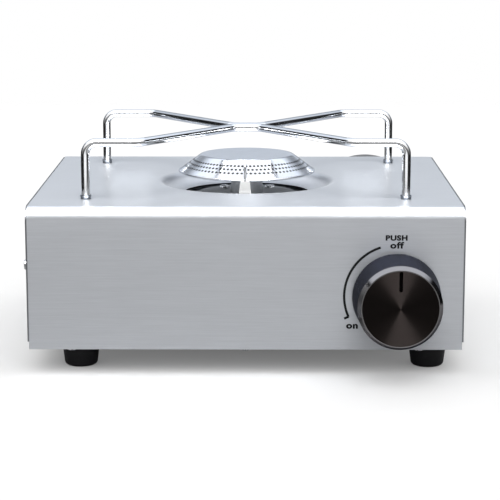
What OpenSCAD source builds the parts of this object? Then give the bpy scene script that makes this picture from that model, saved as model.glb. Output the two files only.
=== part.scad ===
// Butane cassette stove: a bent sheet-steel casing on rubber feet, a perforated burner head in a
// pressed dish, a lift-off trivet of two bent rods, and a push-and-turn knob on the gas valve.
// Frame: +X to the right, +Y to the rear, +Z up. The origin lies on the table, midway between the
// side covers and midway between the knob's face and the rear end of the cartridge collar.

/* [Casing] */
// Width over the two side covers
body_w = 225; // [205:1:280]
// Depth of the casing from its front face to its rear face
body_d = 194; // [182:1:240]
// Height of the casing without its feet
body_h = 74.3; // [74:0.1:90]
// Thickness of the casing's steel sheet
sheet_t = 0.8; // [0.6:0.1:1]
// Outer radius of the casing's bends
bend_r = 5.6; // [4:0.1:8]
// Width of the lips turned in under the front and the rear wall
lip_w = 7.2; // [6.5:0.1:7.2]
// Height of the side covers' lower edge above the casing's lower edge
cover_lift = 4; // [2:0.5:8]
// Corner radius of the side covers
cover_corner_r = 8; // [6:0.5:12]
// Width of the flange that stiffens each side cover under the top
cover_flange_w = 10; // [6:1:14]
// Height of the base plate's turned-up sides
base_flange_h = 12; // [8:1:18]

// Number of air slots in the rear wall
vent_count = 8; // [4:1:8]
// Distance from air slot to air slot
vent_pitch = 10; // [7:0.5:10]
// Width of an air slot in the rear wall
vent_w = 3; // [2:0.2:4]
// Length of its straight part
vent_len = 22; // [12:1:30]

/* [Feet] */
// Height of the casing above the table
foot_h = 12; // [9:0.5:16]
// Diameter of a foot where it meets the base
foot_top_d = 20; // [17:0.5:20]
// Diameter of a foot just above its rounded lower edge
foot_low_d = 17.4; // [15:0.2:18]
// Radius of a foot's rounded lower edge
foot_edge_r = 2.2; // [1:0.2:3]
// Distance of the left feet's axes from the left side cover
foot_left_in = 25.9; // [17:0.1:40]
// Distance of the right feet's axes from the right side cover
foot_right_in = 17.1; // [17:0.1:40]
// Distance of the foot axes from the front and the rear face
foot_in = 17.4; // [17.4:0.2:26]

/* [Dish] */
// Distance of the burner's axis behind the front face
burner_in = 94.5; // [90:0.5:110]
// Radius at which the top starts to sink into the dish
dish_r = 50; // [48:0.5:56]
// Depth of the dish floor below the top
dish_depth = 7; // [5:0.2:9]
// Radius of the rounded edge between the top and the dish wall
dish_edge_r = 5; // [3:0.2:6]
// Radius of the ring on which the air slots lie
slot_ring_r = 31.5; // [31.5:0.1:31.8]
// Width of an air slot
slot_w = 8; // [4:0.5:8]
// Number of air slots
slot_count = 4; // [3:1:6]
// Share of the ring that is open
slot_share = 0.66; // [0.4:0.02:0.68]

/* [Burner] */
// Outer radius of the burner head at its rim
head_r = 38.1; // [37:0.1:39]
// Height of the head's flat top above the casing's top
head_top = 14.8; // [14.2:0.15:16]
// Height of the perforated cone between the rim and the flat top
cone_rise = 9; // [8.1:0.15:9.6]
// Outer radius of the rounded shoulder of the head
head_shoulder_r = 3; // [1.5:1.5:4.5]
// Thickness of the burner's pressed sheet
head_t = 0.5; // [0.5:0.1:0.8]
// Radius of the head's rolled rim
rim_bead_r = 0.75; // [0.6:0.05:0.9]
// Number of rows of flame holes
hole_rows = 3; // [1:1:3]
// Number of flame holes in a row
holes_per_row = 88; // [40:2:88]
// Diameter of a flame hole
hole_d = 1.4; // [0.8:0.1:1.5]
// Distance from row to row along the cone
row_pitch = 2.8; // [2.4:0.1:3]
// Outer diameter of the burner neck
neck_d = 17.7; // [17:0.1:19]
// Outer radius of the mixing tube
tube_r = 7; // [6:0.1:7.4]
// Wall of the mixing tube and of the neck's socket
tube_wall = 1; // [0.6:0.1:1.3]

/* [Trivet] */
// Diameter of the trivet's rod
rod_d = 4.5; // [4:0.1:5.4]
// Distance of the posts from the side covers
post_in = 28.7; // [24:0.1:34]
// Distance of the posts from the burner's axis, front to rear
post_y = 67; // [62:0.5:72]
// Height of the rod's axis above the casing's top
trivet_h = 29.7; // [26:0.1:40]
// Radius of the bend between post and bar, at the rod's axis
post_bend_r = 6; // [5:0.5:9]
// Half length of the straight stretch where the two rods are welded
weld_half = 7.2; // [6:0.2:12]
// Radius of the kinks, at the rod's axis
kink_r = 7; // [5:0.5:9]
// Depth to which the legs reach below the casing's top
leg_depth = 2.9; // [2.4:0.1:3]
// Height of the sockets' flared mouths above the casing's top
socket_h = 2; // [1.2:0.1:3]

/* [Knob] */
// Distance of the knob's axis from the right side cover
knob_in = 35.1; // [33.5:0.1:38.5]
// Height of the knob's axis above the casing's lower edge
knob_z = 28.3; // [27:0.1:31]
// Diameter of the knob at its base
knob_base_d = 45.4; // [40:0.2:46]
// Diameter of the knob where its bevel starts
knob_front_d = 42.8; // [38:0.2:43]
// Diameter of the flat face
knob_face_d = 39.4; // [36:0.2:39.6]
// Length of the knob from its base to its face
knob_len = 28; // [24:0.5:36]
// Length of the bevel around the face
knob_bevel = 3; // [1:0.5:4]
// Gap between the casing and the knob at rest
knob_gap = 3; // [2.8:0.1:4]
// Travel of the knob when it is pushed in
push_travel = 2.5; // [1.5:0.1:2.5]
// Angle from off to on, in degrees
turn_angle = 115; // [90:5:130]
// Diameter of the valve spindle
spindle_d = 6; // [5:0.5:7]

/* [Cartridge bay] */
// Distance of the cartridge's axis from the right side cover
bay_in = 39.9; // [39.9:0.1:42]
// Radius of the collar's bore, which a 68 mm cartridge slides through
bay_r = 35; // [34.4:0.1:35.2]
// Wall of the collar
collar_wall = 1; // [0.8:0.1:1.2]
// Reach of the collar behind the rear face
collar_out = 14; // [10:1:30]
// Depth behind the front face at which the cartridge seats on its seal
seat_in = 49.5; // [49:0.5:56]

/* [Hidden] */
$fn = 96;

eps = 0.01;           // overshoot of a cutter past the face that it opens
slip = 0.1;           // clearance between fixed pieces that slide together in assembly
run = 0.05;           // radial clearance of a running fit
free = 0.3;           // clearance round a piece that lifts out or passes through

// Places that follow the casing's width
foot_left_x = body_w / 2 - foot_left_in;
foot_right_x = body_w / 2 - foot_right_in;
post_x = body_w / 2 - post_in;
knob_x = body_w / 2 - knob_in;
bay_x = body_w / 2 - bay_in;

// Casing planes
front_y = -(body_d + collar_out - knob_gap - knob_len) / 2;
rear_y = front_y + body_d;
top_z = foot_h + body_h;
inner_half_w = body_w / 2 - sheet_t;
base_z = foot_h + sheet_t;
base_top = base_z + sheet_t;
burner_y = front_y + burner_in;

// Slants run along a 3-4-5 triangle, so that their corners fall on short decimals
slant = [0.6, 0.8];

// Dish section: a rounded edge and a fillet that meet on the line between their centres
dish_fillet_r = dish_depth / (1 - slant[0]) - dish_edge_r;
floor_r = dish_r - (dish_edge_r + dish_fillet_r) * slant[1];
floor_z = top_z - dish_depth;

// Valve and knob, as depths behind the front face
valve_z = foot_h + knob_z;
washer_in = 2.5;
washer_t = 1;
cam_in = washer_in + washer_t;
cam_t = 5;
gland_in = cam_in + cam_t + 0.5;
gland_t = 3;
boss_in = gland_in + gland_t;
boss_r = 8.5;
regulator_in = boss_in + 12;
regulator_t = 18;
regulator_r = 22;
spindle_r = spindle_d / 2;
spindle_flat = spindle_r * 0.7;
spindle_grip = 14;    // length of the spindle inside the knob
spindle_front = knob_gap + spindle_grip;
shaft_hole_r = 9;

// Knob shell
knob_wall = 3.2;
knob_cavity_r = knob_front_d / 2 - knob_wall;
knob_front_t = 5;
disc_t = 0.8;
hub_r = spindle_r + 3.4;
hub_web_t = 3;

// Ignition: a snail cam lifts the plunger in proportion to the turn
cam_low_r = 9;
plunger_travel = 3;
cam_gap = 0.25;
plunger_r = 3;
plunger_nose_r = 2;
plunger_tip_x = knob_x - cam_low_r - cam_gap;
piezo_size = [26, 10, 12];
piezo_x = plunger_tip_x - plunger_nose_r - 8 - piezo_size[0];
piezo_in = 2.5;
piezo_bore = 11.5;

// Cartridge bay
collar_r = bay_r + collar_wall;
collar_hole_r = collar_r + slip;
bay_z = top_z - sheet_t - free - collar_hole_r;
magnet_r = [17, 24];
magnet_t = 5;
port_r = 6;
stem_r = 2.2;
seal_t = 1.5;
port_end = seat_in - seal_t;

// Gas path from the regulator's side to the burner
jet_in = regulator_in + regulator_t / 2;
jet_z = foot_h + 31;
jet_boss_x = bay_x - regulator_r - 3;
jet_len = 7;
mouth_r = tube_r + 2.5;
mouth_x = [jet_boss_x - 14.5, jet_boss_x - 2.5];
mouth_cone = 6;
tube_bend_r = 14;
elbow_r = 16;
neck_r = neck_d / 2;
neck_low = top_z - 25;
neck_flange_r = 27;
neck_flange_t = 2.5;
flange_z = floor_z - sheet_t - neck_flange_t;
burner_screw_at = [13, 17.8];

// Burner head section, heights above the casing's top
head_rim = head_top - cone_rise - slant[1] * head_t;
cone_foot = [head_r - rim_bead_r, head_rim] + head_t * slant;
cone_top_r = cone_foot[0] - cone_rise * slant[1] / slant[0];
shoulder_start = cone_top_r - head_shoulder_r / 3;
row_start = 4.5;

// Electrode in front of the burner
electrode_x = -0.6;
electrode_y = burner_y - head_r - 2.9;
insulator_top = 5.5;
insulator_w = [6.8, 5];
insulator_d = 5;
insulator_shank = 4.4;
needle_r = 0.7;
clip_t = 0.8;
needle_top = 12.6;    // height of the spark wire's straight part above the casing's top

// Air slots in the rear wall, from the leftmost
vent_left = body_w * 0.36;
vent_z = foot_h + 36;

// Screws
screw_r = 1.5;
screw_head_r = 2.6;
screw_head_h = 1.2;
screw_len = 6;

// Trivet
rod_r = rod_d / 2;
trivet_z = top_z + trivet_h;
weld_y = rod_r + 0.03;
kink_angle = acos(slant[0]);
kink_cut = kink_r / 2;
kink_x = weld_half + (post_y - weld_y) * slant[0] / slant[1];
slant_len = (post_y - weld_y) / slant[1] - 2 * kink_cut;
socket_r = rod_r + slip + 0.4;
socket_flare = 0.3;
socket_floor = 0.6;
leg_places = [for (x = [-post_x, post_x], y = [burner_y - post_y, burner_y + post_y]) [x, y]];

foot_places = [
    for (x = [-foot_left_x, foot_right_x], y = [front_y + foot_in, rear_y - foot_in]) [x, y]
];
base_screw_in = lip_w - screw_head_r;
base_screw_places = [
    for (x = [-0.4, 0, 0.4], y = [front_y + base_screw_in, rear_y - base_screw_in]) [x * body_w, y]
];
// Depth of each side screw from the face that it is nearest to: left front, right front, rear
side_screw_in = [4, 30, 14];
side_screw_z = foot_h + 43.8;
tab_h = 15;
tab_past_screw = 6;

// ---------------------------------------------------------------- helpers

// Slice of a disc between two angles
module pie(r, a0, a1) {
    reach = 2 * r;
    steps = ceil((a1 - a0) / 60);
    intersection() {
        circle(r);
        polygon(concat([[0, 0]], [
            for (i = [0 : steps])
                let (a = a0 + (a1 - a0) * i / steps) [reach * cos(a), reach * sin(a)]
        ]));
    }
}

module ring(r_out, r_in) {
    difference() {
        circle(r_out);
        circle(r_in);
    }
}

// Upright outline with rounded upper corners, from z0 up to z1
module arch_outline(y0, y1, z0, z1, r) {
    translate([y0, z0]) square([y1 - y0, z1 - r - z0]);
    translate([y0 + r, z1 - r]) square([y1 - y0 - 2 * r, r]);
    translate([y0 + r, z1 - r]) pie(r, 90, 180);
    translate([y1 - r, z1 - r]) pie(r, 0, 90);
}

// Extrudes a YZ outline from x0 to x1
module across(x0, x1) {
    translate([x0, 0, 0]) rotate([90, 0, 90]) linear_extrude(x1 - x0) children();
}

// Extrudes an XZ outline from y0 back to y1
module lengthwise(y0, y1) {
    translate([0, y1, 0]) rotate([90, 0, 0]) linear_extrude(y1 - y0) children();
}

// Cylinder along Y from y0 to y1
module rod_y(x, z, r, y0, y1) {
    translate([x, y1, z]) rotate([90, 0, 0]) cylinder(r = r, h = y1 - y0);
}

// Cylinder along X from x0 to x1
module rod_x(y, z, r, x0, x1) {
    translate([x0, y, z]) rotate([0, 90, 0]) cylinder(r = r, h = x1 - x0);
}

// Cube between two corners
module block(low, high) {
    translate(low) cube(high - low);
}

// Pan-head screw that points down, with its head's underside at the origin
module screw_down(len = screw_len, r = screw_r) {
    difference() {
        union() {
            rotate_extrude() {
                translate([0, 0]) square([screw_head_r, screw_head_h - 0.6]);
                translate([0, screw_head_h - 0.6]) square([screw_head_r - 0.6, 0.6]);
                translate([screw_head_r - 0.6, screw_head_h - 0.6]) pie(0.6, 0, 90);
            }
            translate([0, 0, -len]) cylinder(r = r, h = len);
        }
        for (turn = [0, 90]) rotate([0, 0, turn])
            translate([-1.4, -0.3, screw_head_h - 0.6]) cube([2.8, 0.6, 1]);
    }
}

// ---------------------------------------------------------------- casing

// Pressed dish: the rounded edge, the fillet and the flat floor
module dish_section() {
    edge_at = [dish_r, -dish_edge_r];
    fillet_at = [floor_r, dish_fillet_r - dish_depth];
    intersection() {
        translate(edge_at) ring(dish_edge_r, dish_edge_r - sheet_t);
        polygon([edge_at, [dish_r, fillet_at[1]], fillet_at]);
    }
    intersection() {
        translate(fillet_at) ring(dish_fillet_r + sheet_t, dish_fillet_r);
        polygon([edge_at, fillet_at, [floor_r, -dish_depth - dish_edge_r]]);
    }
    translate([neck_r + slip, -dish_depth - sheet_t]) square([floor_r - neck_r - slip, sheet_t]);
}

module air_slots() {
    span = 360 / slot_count * slot_share;
    for (i = [0 : slot_count - 1]) rotate([0, 0, (i + 0.5) * 360 / slot_count]) {
        rotate([0, 0, -span / 2]) rotate_extrude(angle = span)
            translate([slot_ring_r - slot_w / 2, 0]) square([slot_w, 4]);
        for (side = [-1, 1]) rotate([0, 0, side * span / 2])
            translate([slot_ring_r, 0, 0]) cylinder(d = slot_w, h = 4);
    }
}

// Upright air slots with round ends in the rear wall, left of the cartridge bay
module rear_vents() {
    for (i = [0 : vent_count - 1]) {
        x = -vent_left + i * vent_pitch;
        for (end = [-1, 1]) rod_y(x, vent_z + end * vent_len / 2, vent_w / 2, rear_y - 2, rear_y + 1);
        block([x - vent_w / 2, rear_y - 2, vent_z - vent_len / 2],
              [x + vent_w / 2, rear_y + 1, vent_z + vent_len / 2]);
    }
}

module side_tabs() {
    for (side = [0, 1]) mirror([side == 0 ? 1 : 0, 0, 0]) {
        reach = side_screw_in[side] + tab_past_screw;
        block([inner_half_w - sheet_t, front_y + sheet_t / 2, side_screw_z - tab_h / 2],
              [inner_half_w, front_y + reach, side_screw_z + tab_h / 2]);
        block([inner_half_w - sheet_t, rear_y - side_screw_in[2] - tab_past_screw,
               side_screw_z - tab_h / 2],
              [inner_half_w, rear_y - sheet_t / 2, side_screw_z + tab_h / 2]);
    }
}

module wrap_casing() {
    color("silver") difference() {
        union() {
            difference() {
                across(-inner_half_w, inner_half_w) difference() {
                    arch_outline(front_y, rear_y, foot_h, top_z, bend_r);
                    arch_outline(front_y + sheet_t, rear_y - sheet_t, foot_h + sheet_t,
                                 top_z - sheet_t, bend_r - sheet_t);
                    translate([front_y + lip_w, foot_h - 1])
                        square([body_d - 2 * lip_w, sheet_t + 2]);
                }
                translate([0, burner_y, top_z - sheet_t - 1]) cylinder(r = dish_r, h = sheet_t + 2);
            }
            translate([0, burner_y, top_z]) rotate_extrude() dish_section();
            side_tabs();
        }
        translate([0, burner_y, floor_z - 2]) air_slots();
        for (x = [-1, 1], y = [-1, 1])
            translate([x * burner_screw_at[0], burner_y + y * burner_screw_at[1], floor_z - 2])
                cylinder(r = screw_r + slip, h = 4);
        translate([electrode_x, electrode_y, floor_z])
            cube([insulator_w[0] + 2 * free, insulator_d + 2 * free, 2 * dish_depth], center = true);
        for (p = leg_places)
            translate([p[0], p[1], top_z - 2]) cylinder(r = socket_r + run, h = 4);
        rod_y(knob_x, valve_z, shaft_hole_r, front_y - 1, front_y + 2);
        rod_y(bay_x, bay_z, collar_hole_r, rear_y - bend_r, rear_y + 1);
        for (p = collar_screw_places) rod_y(p[0], p[1], screw_r + slip, rear_y - 2, rear_y + 1);
        for (p = base_screw_places)
            translate([p[0], p[1], foot_h - 1]) cylinder(r = screw_r + slip, h = 3);
        side_screw_holes();
        rear_vents();
    }
}

// Axes of the four side screws, each as [x sign, y]
side_screw_axes = [
    [-1, front_y + side_screw_in[0]], [1, front_y + side_screw_in[1]],
    [-1, rear_y - side_screw_in[2]], [1, rear_y - side_screw_in[2]]
];

module side_screw_holes() {
    for (s = side_screw_axes) translate([s[0] * body_w / 2, s[1], side_screw_z])
        rotate([0, 90, 0]) cylinder(r = screw_r + slip, h = 12, center = true);
}

module side_cover(side) {
    color("silver") mirror([side < 0 ? 1 : 0, 0, 0]) difference() {
        union() {
            across(inner_half_w, body_w / 2)
                arch_outline(front_y + slip, rear_y - slip, foot_h + cover_lift, top_z - slip,
                             cover_corner_r);
            block([inner_half_w - cover_flange_w, front_y + 2 * cover_corner_r,
                   top_z - 2 * sheet_t - slip],
                  [inner_half_w, rear_y - 2 * cover_corner_r, top_z - sheet_t - slip]);
        }
        mirror([side < 0 ? 1 : 0, 0, 0]) side_screw_holes();
    }
}

module side_screws() {
    color("gainsboro") for (s = side_screw_axes)
        translate([s[0] * body_w / 2, s[1], side_screw_z]) rotate([0, s[0] * 90, 0])
            screw_down(3);
}

// Flat floor of the casing with turned-up sides, vents under the burner and bolt holes
module base_plate() {
    gap = slip;
    y0 = front_y + sheet_t + gap;
    y1 = rear_y - sheet_t - gap;
    half = inner_half_w - gap;
    color("gainsboro") difference() {
        union() {
            block([-half, y0, base_z], [half, y1, base_top]);
            for (side = [-1, 1])
                block([side < 0 ? -half : half - sheet_t, y0 + bend_r, base_z],
                      [side < 0 ? -half + sheet_t : half, y1 - bend_r, base_z + base_flange_h]);
        }
        for (p = foot_places) translate([p[0], p[1], base_z - 1]) cylinder(r = screw_r + slip, h = 3);
        for (p = base_screw_places)
            translate([p[0], p[1], base_z - 1]) cylinder(r = screw_r + slip, h = 3);
        for (i = [-3 : 3]) translate([-30, burner_y + i * 10, base_z + sheet_t / 2]) {
            cube([44, 4, 3], center = true);
            for (end = [-22, 22]) translate([end, 0, 0]) cylinder(d = 4, h = 3, center = true);
        }
    }
}

// Tapered foot with a rounded lower edge and a deep seat for its screw
module foot() {
    top_r = foot_top_d / 2;
    low_r = foot_low_d / 2;
    h = base_z;
    difference() {
        rotate_extrude() {
            polygon([[0, 0], [low_r - foot_edge_r, 0], [low_r - foot_edge_r, foot_edge_r],
                     [low_r, foot_edge_r], [top_r, h - 0.6], [top_r - 0.6, h], [0, h]]);
            translate([low_r - foot_edge_r, foot_edge_r]) pie(foot_edge_r, 270, 360);
        }
        translate([0, 0, -1]) cylinder(r = screw_head_r + 1, h = h - 3 + 1);
        cylinder(r = screw_r + slip, h = h + 1);
    }
}

module rubber_feet() {
    color([0.06, 0.06, 0.08]) for (p = foot_places) translate([p[0], p[1], 0]) foot();
}

module foot_screws() {
    color("silver") for (p = foot_places)
        translate([p[0], p[1], base_z - 3]) rotate([180, 0, 0]) screw_down();
}

module base_screws() {
    color("silver") for (p = base_screw_places)
        translate([p[0], p[1], foot_h]) rotate([180, 0, 0]) screw_down(4);
}

// ---------------------------------------------------------------- cartridge bay

collar_flange = [40, 38.5];
collar_flange_t = 1;
collar_flange_z = [foot_h + 4, top_z - bend_r - 1];
collar_screw_places = [
    for (x = [-collar_flange[0] + 5, collar_flange[1] - 5], z = [collar_flange_z[0] + 5,
         collar_flange_z[1] - 5]) [bay_x + x, z]
];

module cartridge_collar() {
    color("gray") difference() {
        union() {
            rod_y(bay_x, bay_z, collar_r, rear_y - sheet_t, rear_y + collar_out - 1);
            translate([bay_x, rear_y + collar_out - 1, bay_z]) rotate([-90, 0, 0])
                rotate_extrude() {
                    square([collar_r - collar_wall / 2, 1]);
                    translate([collar_r - collar_wall / 2, 0]) square([collar_wall / 2, 0.5]);
                    translate([collar_r - 0.5, 0.5]) pie(0.5, 0, 90);
                }
            block([bay_x - collar_flange[0], rear_y, collar_flange_z[0]],
                  [bay_x + collar_flange[1], rear_y + collar_flange_t, collar_flange_z[1]]);
        }
        rod_y(bay_x, bay_z, bay_r, rear_y - sheet_t - 1, rear_y + collar_out + 1);
        for (p = collar_screw_places) rod_y(p[0], p[1], screw_r + slip, rear_y - 2, rear_y + 3);
    }
}

module collar_screws() {
    color("silver") for (p = collar_screw_places)
        translate([p[0], rear_y + collar_flange_t, p[1]]) rotate([-90, 0, 0]) screw_down(5);
}

// Pair of sheet rails that carry the cartridge on either side of its underside
module rail_section() {
    leg_x = bay_r * 0.74;
    foot_drop = base_top - bay_z;
    difference() {
        union() {
            pie(bay_r + run + sheet_t, 212, 238);
            translate([-leg_x - sheet_t, foot_drop]) square([sheet_t, -foot_drop - bay_r * 0.6]);
            translate([-leg_x - 8, foot_drop]) square([8, sheet_t]);
        }
        circle(bay_r + run);
    }
}

module cartridge_rails() {
    color("silver") for (side = [0, 1]) translate([bay_x, 0, bay_z]) mirror([side, 0, 0])
        lengthwise(front_y + seat_in + 20, rear_y - 12) rail_section();
}

shield_x = bay_x - bay_r - 3;
shield_foot = 10;
rivet_x = shield_x - 6;
shield_y = [front_y + seat_in - 2, rear_y - 2];
rivet_places = [for (t = [0.15, 0.5, 0.85]) shield_y[0] + t * (shield_y[1] - shield_y[0])];

// Upright wall between the burner and the cartridge
module heat_shield() {
    color("silver") difference() {
        union() {
            block([shield_x - sheet_t, shield_y[0], base_top],
                  [shield_x, shield_y[1], flange_z - clip_t - 1]);
            block([shield_x - shield_foot, shield_y[0], base_top],
                  [shield_x, shield_y[1], base_top + sheet_t]);
        }
        for (y = rivet_places) translate([rivet_x, y, base_top - 1]) cylinder(r = 1.6, h = 3);
    }
}

module shield_rivets() {
    color("silver") for (y = rivet_places) translate([rivet_x, y, base_top]) {
        cylinder(r = 1.5, h = sheet_t);
        translate([0, 0, sheet_t]) rotate_extrude() intersection() {
            translate([0, -2.2]) circle(3.4);
            square([2.6, 1.3]);
        }
    }
}

module magnet_ring() {
    color("dimgray") translate([bay_x, front_y + regulator_in + regulator_t, bay_z])
        rotate([-90, 0, 0]) difference() {
            cylinder(r = magnet_r[1], h = magnet_t);
            translate([0, 0, -1]) cylinder(r = magnet_r[0], h = magnet_t + 2);
        }
}

module cartridge_port() {
    start = front_y + regulator_in + regulator_t;
    color("goldenrod") difference() {
        union() {
            rod_y(bay_x, bay_z, port_r + 4, start, start + 2);
            rod_y(bay_x, bay_z, port_r, start, front_y + port_end);
        }
        rod_y(bay_x, bay_z, stem_r, start - 1, front_y + seat_in);
    }
}

module port_seal() {
    color([0.1, 0.1, 0.1]) difference() {
        rod_y(bay_x, bay_z, port_r - 1, front_y + port_end, front_y + seat_in);
        rod_y(bay_x, bay_z, stem_r, front_y + port_end - 1, front_y + seat_in + 1);
    }
}

// ---------------------------------------------------------------- regulator and valve

bracket_t = 1.2;
bracket_x = [bay_x - 15, bay_x + 20];
bracket_foot = 11;
bracket_screw_in = 4;
bracket_screw_x = [bracket_x[0] + bracket_screw_in, bracket_x[1] - bracket_screw_in];
bracket_screw_y = front_y + regulator_in - bracket_t - bracket_foot / 2;
cap_x = bay_x + regulator_r;
cap_r = regulator_t / 2;
cap_flange = [5, 2.4];
cap_screw_at = 2.6;

module regulator_bracket() {
    plate_y = front_y + regulator_in - bracket_t;
    color("silver") difference() {
        union() {
            block([bracket_x[0], plate_y, base_top],
                  [bracket_x[1], plate_y + bracket_t, bay_z + 15]);
            block([bracket_x[0], plate_y - bracket_foot, base_top],
                  [bracket_x[1], plate_y + bracket_t, base_top + bracket_t]);
        }
        rod_y(knob_x, valve_z, boss_r + slip, plate_y - 1, plate_y + bracket_t + 1);
        for (x = bracket_screw_x) translate([x, bracket_screw_y, base_top - 1])
            cylinder(r = screw_r + slip, h = 4);
    }
}

module bracket_screws() {
    color("silver") for (x = bracket_screw_x)
        translate([x, bracket_screw_y, base_top + bracket_t]) screw_down(bracket_t);
}

// Die-cast body: the pressure chamber, the valve boss, the jet boss and the diaphragm seat
module regulator_body() {
    y0 = front_y + regulator_in;
    color("lightslategray") difference() {
        union() {
            rod_y(bay_x, bay_z, regulator_r, y0, y0 + regulator_t);
            rod_y(knob_x, valve_z, boss_r, front_y + boss_in, y0 + 1);
            rod_x(front_y + jet_in, jet_z, 6, jet_boss_x, bay_x);
            rod_x(front_y + jet_in, bay_z, cap_r - 0.5, bay_x, cap_x + 2);
        }
        rod_y(knob_x, valve_z, spindle_r + run, front_y + boss_in - 1, y0 + 6);
        rod_y(bay_x, bay_z, stem_r, y0 + 8, y0 + regulator_t + 1);
        rod_x(front_y + jet_in, jet_z, 1.6, jet_boss_x - 1, bay_x - 4);
    }
}

// Round cap over the diaphragm, on the body's right side
module diaphragm_cap() {
    color("lightslategray") translate([cap_x + 2, front_y + jet_in, bay_z]) rotate([0, 90, 0])
        difference() {
            union() {
                cylinder(r = cap_r + cap_flange[0], h = cap_flange[1]);
                cylinder(r = cap_r, h = 2 * cap_flange[1]);
                cylinder(r = 3, h = 7);
            }
            for (a = [45 : 90 : 315]) rotate([0, 0, a])
                translate([cap_r + cap_screw_at, 0, -1]) cylinder(r = 1.1, h = 5);
        }
}

module cap_screws() {
    color("silver") translate([cap_x + 2, front_y + jet_in, bay_z]) rotate([0, 90, 0])
        for (a = [45 : 90 : 315]) rotate([0, 0, a])
            translate([cap_r + cap_screw_at, 0, cap_flange[1]]) {
                translate([0, 0, -cap_flange[1]]) cylinder(r = 1, h = cap_flange[1]);
                cylinder(r = 2, h = 1.2);
            }
}

module gland_nut() {
    color("goldenrod") difference() {
        translate([knob_x, front_y + boss_in, valve_z]) rotate([90, 0, 0])
            cylinder(r = 7, h = gland_t, $fn = 6);
        rod_y(knob_x, valve_z, spindle_r + slip, front_y + gland_in - 1, front_y + boss_in + 1);
    }
}

// Turning spindle with a flat towards the knob
module valve_spindle() {
    color("silver") difference() {
        rod_y(knob_x, valve_z, spindle_r, front_y - spindle_front, front_y + regulator_in + 4);
        block([knob_x - spindle_r - 1, front_y - spindle_front - 1, valve_z + spindle_flat],
              [knob_x + spindle_r + 1, front_y + cam_in + cam_t, valve_z + spindle_r + 1]);
    }
}

// Spiral part of the cam's edge, in degrees round the spindle from the plunger's side
function cam_radius(a) = cam_low_r + plunger_travel * a / turn_angle;
cam_edge = [
    for (a = [0 : 5 : turn_angle]) cam_radius(a) * [-cos(a), sin(a)],
    cam_low_r * [-cos(turn_angle + 20), sin(turn_angle + 20)],
    for (a = [turn_angle + 30 : 10 : 350]) cam_low_r * [-cos(a), sin(a)]
];

module ignition_cam() {
    color("ivory") difference() {
        translate([knob_x, 0, valve_z]) lengthwise(front_y + cam_in, front_y + cam_in + cam_t)
            difference() {
                polygon(cam_edge);
                intersection() {
                    circle(spindle_r);
                    translate([-10, -10]) square([20, 10 + spindle_flat]);
                }
            }
    }
}

module thrust_washer() {
    color("silver") difference() {
        rod_y(knob_x, valve_z, 7, front_y + washer_in, front_y + cam_in);
        rod_y(knob_x, valve_z, spindle_r + run, front_y + washer_in - 1, front_y + cam_in + 1);
    }
}

// Coil spring as one swept tube, from the knob's hub to the washer
spring_turns = 3.5;
spring_wire_r = 0.4;
spring_r = spindle_r + 2;
spring_sides = 6;
spring_steps = 16;
spring_len = knob_gap + washer_in - 2 * spring_wire_r - 0.1;
function spring_ring(t) = [
    for (k = [0 : spring_sides - 1])
        let (a = 360 * spring_turns * t, b = 360 * k / spring_sides,
             r = spring_r + spring_wire_r * cos(b))
            [r * cos(a), spring_len * t + spring_wire_r * sin(b), r * sin(a)]
];

module return_spring() {
    rings = spring_turns * spring_steps;
    points = [for (i = [0 : rings]) each spring_ring(i / rings)];
    sides = [
        for (i = [0 : rings - 1], k = [0 : spring_sides - 1])
            let (a = i * spring_sides + k, b = i * spring_sides + (k + 1) % spring_sides)
                [a, b, b + spring_sides, a + spring_sides]
    ];
    first = [for (k = [spring_sides - 1 : -1 : 0]) k];
    last = [for (k = [0 : spring_sides - 1]) rings * spring_sides + k];
    color("silver") translate([knob_x, front_y - knob_gap + spring_wire_r + 0.05, valve_z])
        polyhedron(points, concat([first], sides, [last]));
}

// ---------------------------------------------------------------- knob

// Section of the knob: x is the radius and y the distance in front of the knob's base
module knob_outline() {
    polygon([[0, 0], [knob_base_d / 2, 0], [knob_front_d / 2, knob_len - knob_bevel],
             [knob_face_d / 2, knob_len], [0, knob_len]]);
}

module knob_placed() {
    translate([knob_x, front_y - knob_gap, valve_z]) rotate([90, 0, 0]) children();
}

module indicator_slot(depth) {
    slot_width = 1.8;
    slot_span = [9.6, 18.2];
    translate([0, 0, knob_len - depth]) {
        translate([-slot_width / 2, slot_span[0], 0])
            cube([slot_width, slot_span[1] - slot_span[0], depth + 1]);
        for (end = slot_span) translate([0, end, 0]) cylinder(d = slot_width, h = depth + 1);
    }
}

module knob_shell() {
    color([0.13, 0.14, 0.17]) knob_placed() difference() {
        rotate_extrude() difference() {
            knob_outline();
            square([knob_cavity_r, knob_len - knob_front_t]);
            translate([0, knob_len - disc_t]) square([knob_face_d / 2 - 0.5, disc_t + 1]);
        }
        indicator_slot(disc_t + 0.8);
    }
}

module knob_face_disc() {
    color([0.2, 0.18, 0.18]) knob_placed() difference() {
        translate([0, 0, knob_len - disc_t]) cylinder(r = knob_face_d / 2 - 0.5 - run, h = disc_t);
        indicator_slot(disc_t + 0.1);
    }
}

// Moulded insert that joins the shell to the flatted spindle
module knob_hub() {
    hub_len = knob_len - knob_front_t;
    bore = spindle_front - knob_gap + push_travel + 0.5;
    color([0.2, 0.2, 0.2]) knob_placed() difference() {
        union() {
            cylinder(r = hub_r, h = hub_len);
            translate([0, 0, hub_len - hub_web_t])
                cylinder(r = knob_cavity_r - run, h = hub_web_t);
            for (i = [0 : 5]) rotate([0, 0, i * 60 + 30])
                translate([0, -0.8, 4]) cube([knob_cavity_r - 0.4, 1.6, hub_len - 4]);
        }
        translate([0, 0, -1]) linear_extrude(bore + 1) intersection() {
            circle(spindle_r + run);
            translate([-10, -10]) square([20, 10 + spindle_flat + run]);
        }
    }
}

// ---------------------------------------------------------------- ignition

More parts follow.
